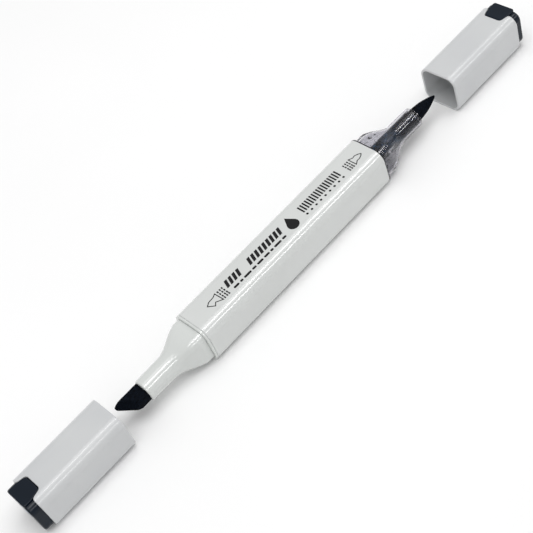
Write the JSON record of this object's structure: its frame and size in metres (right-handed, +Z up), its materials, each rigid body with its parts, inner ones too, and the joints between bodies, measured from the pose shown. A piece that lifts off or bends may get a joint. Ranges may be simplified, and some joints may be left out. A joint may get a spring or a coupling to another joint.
{
  "type": "felt tip marker",
  "caption": "Square double-ended art marker with a chisel felt nib, a brush nib with a clear nose, and a pull-off cap with a coloured end plug for each.",
  "frame": {"origin": "centre of the barrel's flat underside, on the surface that the marker lies on", "axes": "+X along the barrel towards the brush nib, +Z up out of the printed side"},
  "size_m": [0.2294, 0.015, 0.015],
  "materials": {
    "barrel_plastic": "gloss",
    "nose_plastic": "satin",
    "clear_plastic": "gloss",
    "cap_plastic": "gloss",
    "plug_plastic": "gloss",
    "liner_plastic": "matte",
    "nib_felt": "matte",
    "reservoir_fibre": "matte",
    "reservoir_film": "gloss",
    "print_ink": "satin",
    "mark_ink": "satin"
  },
  "bodies": {
    "marker": {"barrel": "barrel_plastic", "chisel_nose": "nose_plastic", "chisel_nib": "nib_felt", "brush_nose": "clear_plastic", "brush_nib": "nib_felt", "reservoir_core": "reservoir_fibre", "reservoir_film": "reservoir_film"},
    "chisel_cap": {"chisel_cap_shell": "cap_plastic", "chisel_cap_insert": "plug_plastic", "chisel_cap_liner": "liner_plastic"},
    "brush_cap": {"brush_cap_shell": "cap_plastic", "brush_cap_insert": "plug_plastic", "brush_cap_liner": "liner_plastic"}
  },
  "joints": [
    {"name": "chisel_cap_slide", "type": "slide", "parent": "marker", "child": "chisel_cap", "axis": [1, 0, 0], "range_m": [0, 0.03535]},
    {"name": "brush_cap_slide", "type": "slide", "parent": "marker", "child": "brush_cap", "axis": [-1, 0, 0], "range_m": [0, 0.03625]}
  ]
}
